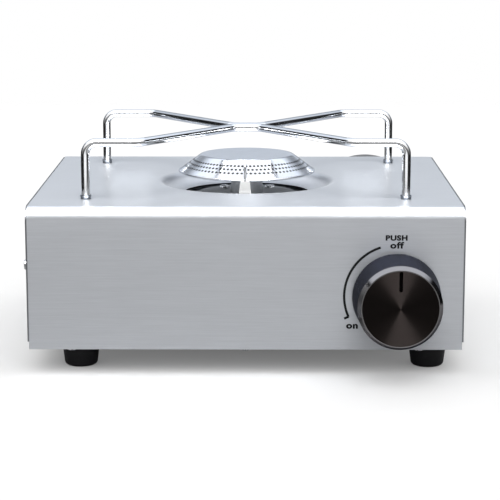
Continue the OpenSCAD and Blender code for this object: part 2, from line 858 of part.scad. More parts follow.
piezo_z = valve_z - piezo_size[2] / 2;
piezo_y = front_y + piezo_in;
piezo_web_t = 1;

module piezo_body() {
    color("darkslateblue") difference() {
        union() {
            translate([piezo_x, piezo_y, piezo_z]) cube(piezo_size);
            rod_x(piezo_y + piezo_size[1] / 2, valve_z, 2.6, piezo_x - 3, piezo_x + 1);
        }
        rod_x(piezo_y + piezo_size[1] / 2, valve_z, plunger_r + run,
              piezo_x + piezo_size[0] - piezo_bore, piezo_x + piezo_size[0] + 1);
    }
}

module piezo_plunger() {
    stem_x = piezo_x + piezo_size[0] - piezo_bore + plunger_travel + 0.5;
    nose_y = front_y + cam_in + cam_t / 2;
    color("whitesmoke") union() {
        rod_x(piezo_y + piezo_size[1] / 2, valve_z, plunger_r, stem_x,
              plunger_tip_x - plunger_nose_r);
        rod_y(plunger_tip_x - plunger_nose_r, valve_z, plunger_nose_r, nose_y - 2, nose_y + 2);
    }
}

module piezo_bracket() {
    back_y = piezo_y + piezo_size[1];
    x0 = piezo_x + 4;
    x1 = piezo_x + piezo_size[0] - 2;
    color("silver") union() {
        block([x0, back_y, base_top], [x1, back_y + piezo_web_t, piezo_z + piezo_size[2]]);
        block([x0, piezo_y + 1, piezo_z - piezo_web_t], [x1, back_y + piezo_web_t, piezo_z]);
        block([x0, back_y, base_top], [x1, back_y + 8, base_top + piezo_web_t]);
    }
}

// Insulated lead from the piezo unit to the foot of the electrode
lead_r = 1.3;
lead_sides = 8;
lead_end_z = flange_z - clip_t - 8;
lead_route = [
    [piezo_x - 3, piezo_y + 5, valve_z], [piezo_x - 9, piezo_y + 6, valve_z + 1],
    [18, front_y + 12, valve_z + 7], [10, front_y + 22, valve_z + 15],
    [4, front_y + 34, valve_z + 17], [electrode_x, electrode_y - 8, valve_z + 16],
    [electrode_x, electrode_y - 2, lead_end_z - 6], [electrode_x, electrode_y, lead_end_z]
];
lead_steps = 4;
function blend_at(p0, p1, p2, p3, t) = 0.5 * (2 * p1 + (p2 - p0) * t
    + (2 * p0 - 5 * p1 + 4 * p2 - p3) * t * t + (3 * p1 - p0 - 3 * p2 + p3) * t * t * t);
lead_last = len(lead_route) - 1;
lead_points = [
    for (i = [0 : lead_last - 1], s = [0 : lead_steps - 1])
        blend_at(lead_route[max(i - 1, 0)], lead_route[i], lead_route[i + 1],
                 lead_route[min(i + 2, lead_last)], s / lead_steps),
    lead_route[lead_last]
];
function unit(v) = v / norm(v);
function lead_heading(i) = unit(lead_points[min(i + 1, len(lead_points) - 1)]
    - lead_points[max(i - 1, 0)]);

module igniter_lead() {
    points = [
        for (i = [0 : len(lead_points) - 1])
            let (d = i == len(lead_points) - 1 ? [0, 0, 1] : i == 0 ? [-1, 0, 0] : lead_heading(i),
                 u = unit(cross(d, [0.3, 1, 0.2])), v = cross(d, u))
                for (k = [0 : lead_sides - 1]) lead_points[i]
                    + lead_r * (u * cos(360 * k / lead_sides) + v * sin(360 * k / lead_sides))
    ];
    rings = len(lead_points) - 1;
    sides = [
        for (i = [0 : rings - 1], k = [0 : lead_sides - 1])
            let (a = i * lead_sides + k, b = i * lead_sides + (k + 1) % lead_sides)
                [a, b, b + lead_sides, a + lead_sides]
    ];
    first = [for (k = [lead_sides - 1 : -1 : 0]) k];
    last = [for (k = [0 : lead_sides - 1]) rings * lead_sides + k];
    color("firebrick") polyhedron(points, concat([first], sides, [last]));
}

module electrode_insulator() {
    w = insulator_w;
    color("white") translate([electrode_x, electrode_y, 0]) difference() {
        union() {
            translate([0, insulator_d / 2, 0]) rotate([90, 0, 0]) linear_extrude(insulator_d)
                polygon([[-w[0] / 2, flange_z], [w[0] / 2, flange_z],
                         [w[0] / 2, top_z - 2], [w[1] / 2, top_z + insulator_top],
                         [-w[1] / 2, top_z + insulator_top], [-w[0] / 2, top_z - 2]]);
            translate([0, 0, lead_end_z])
                cylinder(r = insulator_shank / 2, h = flange_z - lead_end_z + 1);
        }
        translate([0, 0, lead_end_z + 3]) cylinder(r = needle_r + run, h = 60);
    }
}

// Spark wire: straight up out of the ceramic, then bent towards the burner's holes
module electrode_needle() {
    top = top_z + needle_top;
    bend = 2;
    color("silver") translate([electrode_x, electrode_y, 0]) {
        translate([0, 0, lead_end_z + 3]) cylinder(r = needle_r, h = top - lead_end_z - 3);
        translate([0, bend, top]) rotate([90, 0, -90]) rotate_extrude(angle = 60)
            translate([bend, 0]) circle(needle_r);
    }
}

module electrode_clip() {
    color("silver") difference() {
        block([electrode_x - 5.5, electrode_y - 5, flange_z - clip_t],
              [electrode_x + 5.5, burner_y - neck_flange_r + 5, flange_z]);
        translate([electrode_x, electrode_y, flange_z - 2])
            cylinder(r = insulator_shank / 2 + slip, h = 4);
    }
}

// ---------------------------------------------------------------- gas path and burner

module gas_jet() {
    y = front_y + jet_in;
    color("goldenrod") difference() {
        union() {
            translate([jet_boss_x - 3, y, jet_z]) rotate([0, 90, 0])
                cylinder(r = 4, h = 3, $fn = 6);
            rod_x(y, jet_z, 2.6, jet_boss_x - jet_len, jet_boss_x - 3 + eps);
        }
        rod_x(y, jet_z, 0.5, jet_boss_x - jet_len - 1, jet_boss_x + 1);
    }
}

// Wall of the mixing tube or, with a smaller radius, its bore
module tube_run(grow) {
    y = front_y + jet_in;
    r = tube_r + grow;
    rod_x(y, jet_z, mouth_r + grow, mouth_x[0], mouth_x[1] - min(grow, 0) * 2);
    translate([mouth_x[0], y, jet_z]) rotate([0, -90, 0])
        cylinder(r1 = mouth_r + grow, r2 = r, h = mouth_cone);
    rod_x(y, jet_z, r, tube_bend_r, mouth_x[0] - mouth_cone);
    translate([tube_bend_r, y + tube_bend_r, jet_z]) rotate([0, 0, 180])
        rotate_extrude(angle = 90) translate([tube_bend_r, 0]) circle(r);
    rod_y(0, jet_z, r, y + tube_bend_r, burner_y - elbow_r);
    translate([0, burner_y - elbow_r, jet_z + elbow_r]) rotate([0, 90, 0])
        rotate_extrude(angle = 90) translate([elbow_r, 0]) circle(r);
    translate([0, burner_y, jet_z + elbow_r])
        cylinder(r = r, h = neck_low + 8 - jet_z - elbow_r - min(grow, 0) * 2);
}

window_w = 6;

module air_windows(r) {
    mid = (mouth_x[0] + mouth_x[1]) / 2;
    translate([mid, front_y + jet_in, jet_z]) for (a = [45 : 90 : 315]) rotate([a, 0, 0])
        translate([0, 0, r]) cube(window_w, center = true);
}

module mixing_tube() {
    color("darkgray") difference() {
        tube_run(0);
        tube_run(-tube_wall);
        air_windows(mouth_r);
    }
}

module air_shutter() {
    mid = (mouth_x[0] + mouth_x[1]) / 2;
    y = front_y + jet_in;
    color("silver") difference() {
        half = window_w * 0.75;
        rod_x(y, jet_z, mouth_r + slip + 0.7, mid - half, mid + half);
        rod_x(y, jet_z, mouth_r + slip, mid - half - 1, mid + half + 1);
        air_windows(mouth_r + 1);
    }
}

// Cast neck with the flange that holds it under the dish
module burner_neck() {
    color([0.3, 0.31, 0.33]) translate([0, burner_y, 0]) difference() {
        union() {
            translate([0, 0, neck_low]) cylinder(r = neck_r, h = top_z + 3 - neck_low);
            translate([0, 0, flange_z]) cylinder(r = neck_flange_r, h = neck_flange_t);
        }
        translate([0, 0, neck_low - 1]) cylinder(r = tube_r + slip, h = top_z - neck_low + 5);
        for (x = [-1, 1], y = [-1, 1])
            translate([x * burner_screw_at[0], y * burner_screw_at[1], flange_z - 1])
                cylinder(r = screw_r + run, h = neck_flange_t + 2);
    }
}

// Floor of the burner head, crimped inside its rim
module burner_pan() {
    low = 1.4;
    rise = head_rim - rim_bead_r - 0.2 - low;
    edge = head_r - 2 * rim_bead_r - slip;
    inner = neck_r + slip;
    color([0.25, 0.25, 0.27]) translate([0, burner_y, top_z]) rotate_extrude()
        polygon([[inner, low], [inner + 3, low], [edge, low + rise], [edge, low + rise + head_t],
                 [inner + 3 - 0.1, low + head_t], [inner, low + head_t]]);
}

// Pressed head: flat top, rounded shoulder, cone and rolled rim
module head_shell() {
    r = head_shoulder_r;
    centre = [shoulder_start, head_top - r];
    cone_start = centre + r * slant;
    translate([0, 0, head_top - head_t]) cylinder(r = shoulder_start, h = head_t);
    rotate_extrude() intersection() {
        translate(centre) ring(r, r - head_t);
        polygon([centre, centre + 2 * r * slant, centre + [0, 2 * r]]);
    }
    rotate_extrude()
        polygon([cone_start, cone_foot, cone_foot - head_t * slant, cone_start - head_t * slant]);
    rotate_extrude() translate([head_r - rim_bead_r, head_rim]) circle(rim_bead_r);
}

module flame_holes() {
    for (row = [0 : hole_rows - 1]) {
        back = row_start + row * row_pitch;
        r = cone_foot[0] - back * slant[1];
        z = cone_foot[1] + back * slant[0];
        for (i = [0 : holes_per_row - 1])
            rotate([0, 0, (i + row / 2) * 360 / holes_per_row]) translate([r, 0, z])
                rotate([0, asin(slant[0]), 0]) translate([0, 0, -2]) cylinder(d = hole_d, h = 3);
    }
}

module burner_head() {
    color("gainsboro") translate([0, burner_y, top_z]) difference() {
        head_shell();
        flame_holes();
    }
}

module burner_screws() {
    color("silver") for (x = [-1, 1], y = [-1, 1])
        translate([x * burner_screw_at[0], burner_y + y * burner_screw_at[1], floor_z])
            screw_down(4);
}

// ---------------------------------------------------------------- trivet

// Round bend in the plane of X and Y: starts at the origin, heads along +X and turns left
module rod_bend(radius, angle) {
    translate([0, radius, 0]) rotate([0, 0, -90]) rotate_extrude(angle = angle)
        translate([radius, 0]) circle(rod_r);
}

// Left half of a rod, from its leg to the middle of the weld
module half_rod() {
    chamfer = 0.6;
    leg_z = top_z - leg_depth + 0.02;
    translate([-post_x, -post_y, leg_z + chamfer])
        cylinder(r = rod_r, h = trivet_z - post_bend_r - leg_z - chamfer);
    translate([-post_x, -post_y, leg_z]) cylinder(r1 = rod_r - chamfer, r2 = rod_r, h = chamfer);
    translate([-post_x + post_bend_r, -post_y, trivet_z - post_bend_r]) rotate([90, 0, 180])
        rotate_extrude(angle = 90) translate([post_bend_r, 0]) circle(rod_r);
    rod_x(-post_y, trivet_z, rod_r, -post_x + post_bend_r, -kink_x - kink_cut);
    translate([-kink_x - kink_cut, -post_y, trivet_z]) kink();
    translate([-kink_x + slant[0] * kink_cut, -post_y + slant[1] * kink_cut, trivet_z])
        multmatrix([[0, -slant[1], slant[0], 0], [0, slant[0], slant[1], 0],
                    [-1, 0, 0, 0], [0, 0, 0, 1]])
            cylinder(r = rod_r, h = slant_len);
    translate([-weld_half + kink_cut, -weld_y, trivet_z]) rotate([0, 0, 180]) kink();
    rod_x(-weld_y, trivet_z, rod_r, -weld_half + kink_cut, 0);
}

// Bend that starts at the origin, heads along +X and turns to the left
module kink() {
    translate([0, kink_r, 0]) rotate([0, 0, -90]) rotate_extrude(angle = kink_angle)
        translate([kink_r, 0]) circle(rod_r);
}

// Blind sockets with flared mouths, swaged under the top
module trivet_sockets() {
    low = top_z - leg_depth - socket_floor;
    color("silver") for (p = leg_places) translate([p[0], p[1], 0]) difference() {
        union() {
            translate([0, 0, low]) cylinder(r = socket_r, h = top_z + socket_h - 1 - low);
            translate([0, 0, top_z + socket_h - 1])
                cylinder(r1 = socket_r, r2 = socket_r + socket_flare, h = 1);
            translate([0, 0, top_z - sheet_t - 0.6]) cylinder(r = socket_r + 1.5, h = 0.6);
        }
        translate([0, 0, top_z - leg_depth]) cylinder(r = rod_r + slip, h = 20);
        translate([0, 0, top_z + socket_h - 1])
            cylinder(r1 = rod_r + slip, r2 = rod_r + slip + socket_flare, h = 1);
    }
}

module bent_rod() {
    for (side = [0, 1]) mirror([side, 0, 0]) half_rod();
}

module trivet_front_rod() {
    color("gainsboro") translate([0, burner_y, 0]) bent_rod();
}

module trivet_rear_rod() {
    color("gainsboro") translate([0, burner_y, 0]) mirror([0, 1, 0]) bent_rod();
}

// ---------------------------------------------------------------- output

wrap_casing();
side_cover(-1);  // side_cover_left
side_cover(1);  // side_cover_right
base_plate();
rubber_feet();
foot_screws();
base_screws();
side_screws();
cartridge_collar();
collar_screws();
cartridge_rails();
heat_shield();
shield_rivets();
regulator_bracket();
bracket_screws();
regulator_body();
diaphragm_cap();
cap_screws();
cartridge_port();
port_seal();
magnet_ring();
gland_nut();
valve_spindle();
ignition_cam();
thrust_washer();
return_spring();
knob_shell();
knob_hub();
knob_face_disc();
piezo_body();
piezo_plunger();
piezo_bracket();
igniter_lead();
electrode_insulator();
electrode_needle();
electrode_clip();
gas_jet();
mixing_tube();
air_shutter();
burner_neck();
burner_pan();
burner_head();
burner_screws();
trivet_sockets();
trivet_front_rod();
trivet_rear_rod();
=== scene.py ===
"""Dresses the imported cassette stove: its finishes, printed marks, coil, weld and studio stage."""

import math

import bpy
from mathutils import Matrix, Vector


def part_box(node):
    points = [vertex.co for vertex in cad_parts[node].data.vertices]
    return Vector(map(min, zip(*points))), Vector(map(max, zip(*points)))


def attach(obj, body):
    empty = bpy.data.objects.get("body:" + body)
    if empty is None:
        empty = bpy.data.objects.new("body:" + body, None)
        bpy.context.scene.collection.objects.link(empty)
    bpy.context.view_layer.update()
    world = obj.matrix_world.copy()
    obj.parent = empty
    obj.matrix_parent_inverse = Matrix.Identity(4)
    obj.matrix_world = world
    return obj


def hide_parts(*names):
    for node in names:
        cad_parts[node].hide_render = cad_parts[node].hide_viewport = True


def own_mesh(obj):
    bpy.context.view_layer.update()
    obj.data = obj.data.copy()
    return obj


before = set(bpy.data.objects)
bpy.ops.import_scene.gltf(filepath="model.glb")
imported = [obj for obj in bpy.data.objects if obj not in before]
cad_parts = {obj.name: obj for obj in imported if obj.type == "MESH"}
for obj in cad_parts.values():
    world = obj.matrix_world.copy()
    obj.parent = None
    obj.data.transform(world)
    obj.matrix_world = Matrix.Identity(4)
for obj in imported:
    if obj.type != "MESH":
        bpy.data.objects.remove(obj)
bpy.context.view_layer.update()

bl_info = {
    "name": "Cassette Stove Finish",
    "version": (1, 0, 0),
    "blender": (4, 5, 0),
    "location": "3D View > Sidebar > Stove",
    "description": "Finishes, printed marks and studio stage for a butane cassette stove",
    "category": "Object",
}

MM = 0.001

# Casing: its front face, its top face (the ceramic stands 5.5 mm above it) and its side
FRONT_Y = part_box("wrap_casing")[0][1]
TOP_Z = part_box("electrode_insulator")[1][2] - 5.5 * MM
COVER_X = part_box("side_cover_right")[1][0]

# Knob: its axis at the front face, its own front, its flat front inside the bevel, its way in
KNOB_LOW, KNOB_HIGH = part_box("knob_shell")
KNOB_AXIS = Vector(((KNOB_LOW[0] + KNOB_HIGH[0]) / 2, FRONT_Y, (KNOB_LOW[2] + KNOB_HIGH[2]) / 2))
KNOB_FACE_Y = KNOB_LOW[1]
KNOB_FLAT_R = 19 * MM
KNOB_BEVEL_DEPTH = 3 * MM

# Burner: its axis, the radius of its pressed dish, the outer edge of the dish's air slots
HEAD_LOW, HEAD_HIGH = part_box("burner_head")
BURNER_Y = (HEAD_LOW[1] + HEAD_HIGH[1]) / 2
DISH_R = 50 * MM
SLOTS_R = 38.5 * MM

# Trivet rod and return spring
ROD_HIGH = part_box("trivet_front_rod")[1]
ROD_R = 2.25 * MM
SPRING_LOW, SPRING_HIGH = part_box("return_spring")
SPRING_WIRE_R = 0.4 * MM
SPRING_TURNS = 3.5


# ---------------------------------------------------------------- settings

def hex_colour(name, value, about):
    """A colour setting that holds an sRGB hex value."""
    return bpy.props.StringProperty(name=name, default=value, description=about)


def length(name, value, about, **limits):
    """A setting that holds a length in metres."""
    return bpy.props.FloatProperty(name=name, default=value, description=about,
                                   unit="LENGTH", subtype="DISTANCE", **limits)


class StoveFinish(bpy.types.PropertyGroup):
    """Colours of the stove's finishes, as sRGB hex values"""

    casing: hex_colour("Casing", "C0C3C8", "Brushed stainless steel of the casing")
    rods: hex_colour("Trivet rods", "E6E8EB", "Chrome plate of the trivet")
    burner: hex_colour("Burner head", "E4E6EA", "Pressed stainless steel of the burner")
    knob: hex_colour("Knob flank", "484A52", "Anodised flank of the knob")
    knob_face: hex_colour("Knob face", "262221", "Spun and anodised face of the knob")
    rubber: hex_colour("Feet", "060609", "Rubber of the feet")
    ink: hex_colour("Print", "060608", "Ink of the printed marks")
    grain_pitch: length("Grain pitch", 0.0006, "Distance between the lines of the brushed grain",
                        min=0.0002, max=0.002)
    grain_length: length("Grain length", 0.035, "Length of the lines of the brushed grain",
                         min=0.005, max=0.2)


class StovePrint(bpy.types.PropertyGroup):
    """Sizes of the marks printed round the knob"""

    arc_radius: length("Arc radius", 0.0267, "Radius of the printed arc around the knob's axis")
    line_width: length("Line width", 0.00125, "Width of the printed lines")
    ink_height: length("Ink height", 0.00004, "Height of the ink above the sheet")
    push_size: length("PUSH size", 0.0036, "Font size of the upper word")
    word_size: length("Word size", 0.0045, "Font size of the words off and on")


# ---------------------------------------------------------------- shader helpers

def linear(hex_value):
    """Linear RGBA of an sRGB hex value."""
    parts = [int(hex_value[i:i + 2], 16) / 255 for i in (0, 2, 4)]
    return [p / 12.92 if p <= 0.04045 else ((p + 0.055) / 1.055) ** 2.4 for p in parts] + [1.0]


def add_node(tree, kind, inputs=None, **settings):
    """Adds a shader node with its settings; an input is a value or another node's output."""
    node = tree.nodes.new("ShaderNode" + kind)
    for name, value in settings.items():
        setattr(node, name, value)
    for socket, value in (inputs or {}).items():
        if isinstance(value, bpy.types.NodeSocket):
            tree.links.new(value, node.inputs[socket])
        else:
            node.inputs[socket].default_value = value
    return node


def start_material(name, colour, metallic, roughness, **sockets):
    """A material with one Principled shader and the piece's own Object coordinates."""
    material = bpy.data.materials.new(name)
    material.use_nodes = True
    tree = material.node_tree
    tree.nodes.clear()
    shader = add_node(tree, "BsdfPrincipled", {
        "Base Color": linear(colour), "Metallic": metallic, "Roughness": roughness, **sockets})
    add_node(tree, "OutputMaterial", {"Surface": shader.outputs[0]})
    coords = add_node(tree, "TexCoord").outputs["Object"]
    return material, tree, shader, coords


def shade_hex(hex_value, factor):
    """An sRGB hex value made darker or lighter."""
    parts = [min(255, round(int(hex_value[i:i + 2], 16) * factor)) for i in (0, 2, 4)]
    return "".join("%02X" % p for p in parts)


def pattern(tree, coords, scale, detail=3.0, roughness=0.55, location=(0, 0, 0)):
    """Clouds or lines whose cells measure one over the scale along each axis, in metres."""
    mapped = add_node(tree, "Mapping", {"Vector": coords, "Scale": scale, "Location": location})
    return add_node(tree, "TexNoise", {
        "Vector": mapped.outputs[0], "Scale": 1.0, "Detail": detail,
        "Roughness": roughness}).outputs[0]


def vary(tree, shader, cells, colours=None, roughness=None, relief=None, width=0.2):
    """Lets a pattern vary a finish within a width about its middle value of 0.5: its colour
    between two sRGB hex values, its roughness between two numbers, and its surface by a
    height in metres at a strength."""
    low, high = 0.5 - width, 0.5 + width
    if colours:
        share = add_node(tree, "MapRange", {"Value": cells, "From Min": low, "From Max": high})
        mix = add_node(tree, "Mix", {
            0: share.outputs[0], 6: linear(colours[0]), 7: linear(colours[1])}, data_type="RGBA")
        tree.links.new(mix.outputs[2], shader.inputs["Base Color"])
    if roughness:
        rough = add_node(tree, "MapRange", {
            "Value": cells, "From Min": low, "From Max": high,
            "To Min": roughness[0], "To Max": roughness[1]})
        tree.links.new(rough.outputs[0], shader.inputs["Roughness"])
    if relief:
        bump = add_node(tree, "Bump", {
            "Height": cells, "Distance": relief[0], "Strength": relief[1]})
        tree.links.new(bump.outputs[0], shader.inputs["Normal"])


def zone(tree, *edges, most=1.0):
    """A mask, with its most inside a zone and 0 outside. Each edge is a measure, the value at
    which it is outside, the value at which it is inside, and the share left outside, if any."""
    mask = most
    for measure, outside, inside, *left in edges:
        edge = add_node(tree, "MapRange", {
            "Value": measure, "From Min": outside, "From Max": inside,
            "To Min": left[0] if left else 0.0})
        mask = add_node(tree, "Math", {0: mask, 1: edge.outputs[0]},
                        operation="MULTIPLY").outputs[0]
    return mask


def refinish(tree, shader, mask, colour=None, roughness=None):
    """Gives a zone of a finish another sRGB hex colour or another roughness."""
    if colour:
        under = shader.inputs["Base Color"].links[0].from_socket
        mix = add_node(tree, "Mix", {0: mask, 6: under, 7: linear(colour)}, data_type="RGBA")
        tree.links.new(mix.outputs[2], shader.inputs["Base Color"])
    if roughness:
        under = shader.inputs["Roughness"].links[0].from_socket
        mix = add_node(tree, "Mix", {0: mask, 2: under, 3: roughness}, data_type="FLOAT")
        tree.links.new(mix.outputs[0], shader.inputs["Roughness"])


def dress(material, *nodes):
    """Gives CAD nodes a material."""
    for name in nodes:
        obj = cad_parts[name]
        if not obj.material_slots:
            obj.data.materials.append(material)
        for slot in obj.material_slots:
            slot.material = material


def finish_piece(obj, name, material, body):
    """Names a modelled piece, gives it its material, and lets it ride on its body."""
    obj.name = name
    obj.data.name = name
    obj.data.materials.clear()
    obj.data.materials.append(material)
    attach(obj, body)


def nothing_selected():
    """Leaves edit mode and deselects every object."""
    if bpy.context.object and bpy.context.object.mode != "OBJECT":
        bpy.ops.object.mode_set(mode="OBJECT")
    bpy.ops.object.select_all(action="DESELECT")


def settle(obj):
    """Moves a piece's place into its mesh."""
    nothing_selected()
    obj.select_set(True)
    bpy.context.view_layer.objects.active = obj
    bpy.ops.object.transform_apply(location=True, rotation=True, scale=True)


# ---------------------------------------------------------------- materials

def radius_round(tree, coords, centre, axis):
    """Distance from an axis, and the direction away from it, for patterns of turned pieces."""
    offset = add_node(tree, "VectorMath", {0: coords, 1: centre}, operation="SUBTRACT")
    flat = [1.0, 1.0, 1.0]
    flat[axis] = 0.0
    outward = add_node(tree, "VectorMath", {0: offset.outputs[0], 1: flat},
                       operation="MULTIPLY").outputs[0]
    radius = add_node(tree, "VectorMath", {0: outward}, operation="LENGTH").outputs["Value"]
    return radius, outward


def painted_shade_edges(tree, shader, coords, radius):
    """Darkens the sheared edges of the dish's air slots and the side covers' cut edges: painted
    shade for the slots' walls and for the step at the covers' edges.
    """
    normal = add_node(tree, "NewGeometry").outputs["True Normal"]
    facing = add_node(tree, "SeparateXYZ", {0: normal}).outputs
    place = add_node(tree, "SeparateXYZ", {0: coords}).outputs
    upright, leant, away = [
        add_node(tree, "Math", {0: measure}, operation="ABSOLUTE").outputs[0]
        for measure in (facing[2], facing[0], place[0])]
    # Painted shade: the slots' walls near black, the covers' cut edges grey
    sheared = zone(tree, (upright, 0.4, 0.3), (radius, SLOTS_R + 0.5 * MM, SLOTS_R), most=0.97)
    cut = zone(tree, (away, COVER_X - 0.9 * MM, COVER_X - 0.85 * MM), (leant, 0.6, 0.5), most=0.8)
    refinish(tree, shader, sheared, "1A1A1C")
    refinish(tree, shader, cut, "707276")


def brushed_stainless(settings, name, axis):
    """Brushed stainless steel sheet, with its grain along X (0) or Y (1)."""
    # Ground with a belt: long fine lines that stretch reflections across them.
    # The real lines are about 0.1 mm apart, drawn coarser so that they show.
    material, tree, shader, coords = start_material(
        name, settings.casing, 1.0, 0.3, **{"Specular Tint": linear("D6D5D1")})
    scale = Vector([1 / settings.grain_pitch] * 3)
    scale[axis] = 1 / settings.grain_length
    lines = pattern(tree, coords, scale, 3.0, 0.6)
    hairs = pattern(tree, coords, scale * 2.5, 2.0, 0.6, (3, 5, 7))
    both = add_node(tree, "Mix", {0: 0.5, 2: lines, 3: hairs}, data_type="FLOAT").outputs[0]
    vary(tree, shader, both, (shade_hex(settings.casing, 0.98), shade_hex(settings.casing, 1.015)),
         width=0.12)
    vary(tree, shader, hairs, roughness=(0.285, 0.315))
    vary(tree, shader, lines, relief=(0.002 * MM, 0.25))
    radius, _ = radius_round(tree, coords, (0, BURNER_Y, 0), 2)
    # Painted shade on the slots' walls and on the covers' cut edges
    painted_shade_edges(tree, shader, coords, radius)
    # The pressed dish is left satin
    height = add_node(tree, "SeparateXYZ", {0: coords}).outputs[2]
    pressed = zone(tree, (radius, DISH_R + 5 * MM, DISH_R),
                   (height, TOP_Z - 1 * MM, TOP_Z - 4 * MM))
    refinish(tree, shader, pressed, roughness=0.5)
    stretch = add_node(tree, "Mix", {0: pressed, 2: 0.7, 3: 0.2}, data_type="FLOAT")
    tree.links.new(stretch.outputs[0], shader.inputs["Anisotropic"])
    # The soft direction lies square to the grain in the surface; the small tilt keeps it
    # from vanishing on faces that the grain would meet endwise
    along = Vector((0.04, 0.04, 0.04))
    along[axis] = 1
    normal = add_node(tree, "NewGeometry").outputs["Normal"]
    tangent = add_node(tree, "VectorMath", {0: along, 1: normal}, operation="CROSS_PRODUCT")
    tree.links.new(tangent.outputs[0], shader.inputs["Tangent"])
    return material


def chrome_plate(name, colour, low, high):
    """Chrome on steel, from mirror-bright rod to the duller pressed sockets."""
    # A faint orange peel makes long reflections waver.
    material, tree, shader, coords = start_material(name, colour, 1.0, low)
    peel = pattern(tree, coords, (300, 300, 300), 2.0)
    smear = pattern(tree, coords, (60, 60, 60), 3.0)
    vary(tree, shader, smear, roughness=(low, high))
    vary(tree, shader, peel, relief=(0.02 * MM, 0.06))
    return material


def burner_steel(settings):
    """Pressed and polished stainless steel of the burner."""
    # Bright outside with faint clouds.
    material, tree, shader, coords = start_material(
        "polished_burner_steel", settings.burner, 1.0, 0.18)
    radius, _ = radius_round(tree, coords, (0, BURNER_Y, 0), 2)
    spots = pattern(tree, coords, (120, 120, 120), 3.0)
    vary(tree, shader, spots, (shade_hex(settings.burner, 0.97), shade_hex(settings.burner, 1.03)),
         (0.15, 0.2))
    # The inside is painted near black as painted shade, so that the flame holes look dark: what
    # lies below the flat top, within the cone's foot and deeper than a sheet under the cone's outer
    # face. Its normal is (0.6, 0.8), and its foot is 37.65 mm from the axis and 5.8 mm above the
    # casing
    height = add_node(tree, "SeparateXYZ", {0: coords}).outputs[2]
    lean = add_node(tree, "Math", {0: radius, 1: 0.6}, operation="MULTIPLY").outputs[0]
    reach = add_node(tree, "Math", {0: height, 1: 0.8, 2: lean},
                     operation="MULTIPLY_ADD").outputs[0]
    cone = 0.6 * 37.65 * MM + 0.8 * (TOP_Z + 5.8 * MM)
    inside = zone(tree, (reach, cone - 0.2 * MM, cone - 0.4 * MM), (radius, 37 * MM, 36.8 * MM),
                  (height, HEAD_HIGH[2] - 0.3 * MM, HEAD_HIGH[2] - 0.4 * MM))
    refinish(tree, shader, inside, "1C1A19")
    return material


def zinc_sheet():
    """Zinc-plated steel sheet of the inner parts."""
    # Rolled and plated: cool grey with soft flakes of a few millimetres.
    material, tree, shader, coords = start_material("zinc_plated_sheet", "B3B7BA", 1.0, 0.4)
    cells = add_node(tree, "TexVoronoi", {"Vector": coords, "Scale": 260.0}).outputs["Color"]
    flake = add_node(tree, "SeparateColor", {0: cells}).outputs[0]
    vary(tree, shader, flake, ("A5A9AD", "BEC2C5"), (0.34, 0.48), width=0.5)
    return material


def plated_fastener(name):
    """Zinc-plated steel of screws and drawn wire."""
    # Small cold-formed parts: even grey shine with fine drag marks.
    material, tree, shader, coords = start_material(name, "BFC1C4", 1.0, 0.28)
    marks = pattern(tree, coords, (900, 900, 300), 3.0)
    vary(tree, shader, marks, ("AEB0B3", "CBCDD0"), (0.2, 0.38))
    return material


def die_cast_alloy():
    """Die-cast zinc alloy of the burner neck and the regulator."""
    # Dull dark grey skin with a fine cast texture.
    material, tree, shader, coords = start_material("die_cast_zinc_alloy", "949698", 1.0, 0.5)
    skin = pattern(tree, coords, (700, 700, 700), 4.0)
    patches = pattern(tree, coords, (90, 90, 90), 3.0)
    vary(tree, shader, patches, ("888A8C", "A0A2A4"))
    vary(tree, shader, skin, roughness=(0.44, 0.62), relief=(0.04 * MM, 0.5))
    return material


def turned_brass():
    """Turned brass of the gas fittings."""
    # Warm yellow metal with fine tool marks.
    material, tree, shader, coords = start_material("turned_brass", "C9A85C", 1.0, 0.26)
    marks = pattern(tree, coords, (1500, 60, 60), 3.0)
    vary(tree, shader, marks, ("B4924A", "D8BC72"), (0.2, 0.36))
    return material


def dark_collar_steel():
    """Blackened steel of the cartridge collar."""
    # Rolled tube with a thin dark coat, worn a little brighter in streaks.
    material, tree, shader, coords = start_material("blackened_collar_steel", "6E6A67", 1.0, 0.36)
    streaks = pattern(tree, coords, (120, 25, 120), 3.0)
    vary(tree, shader, streaks, ("5C5856", "827E7A"), (0.3, 0.44))
    return material


def anodised_knob(settings):
    """Black anodised aluminium of the knob's shell."""
    # Fine-blasted satin flank; the bevel round the face is cut after anodising and shines.
    material, tree, shader, coords = start_material(
        "black_anodised_aluminium", settings.knob, 1.0, 0.3,
        **{"Specular Tint": linear("585A62")})
    grit = pattern(tree, coords, (1600, 1600, 1600), 2.0)
    vary(tree, shader, grit, (shade_hex(settings.knob, 0.92), shade_hex(settings.knob, 1.08)),
         (0.38, 0.44))
    radius, _ = radius_round(tree, coords, tuple(KNOB_AXIS), 1)
    depth = KNOB_FACE_Y + KNOB_BEVEL_DEPTH
    front = (add_node(tree, "SeparateXYZ", {0: coords}).outputs[1],
             depth + 0.1 * MM, depth - 0.1 * MM)
    low, high = KNOB_FLAT_R - 0.1 * MM, KNOB_FLAT_R + 0.1 * MM
    refinish(tree, shader, zone(tree, front, (radius, low, high)), "9A9899", 0.1)
    # Inside the bevel only the sunk mark shows of the shell; it is painted near black, a painted
    # shade in the groove
    refinish(tree, shader, zone(tree, front, (radius, high, low)), "0C0B0B")
    return material


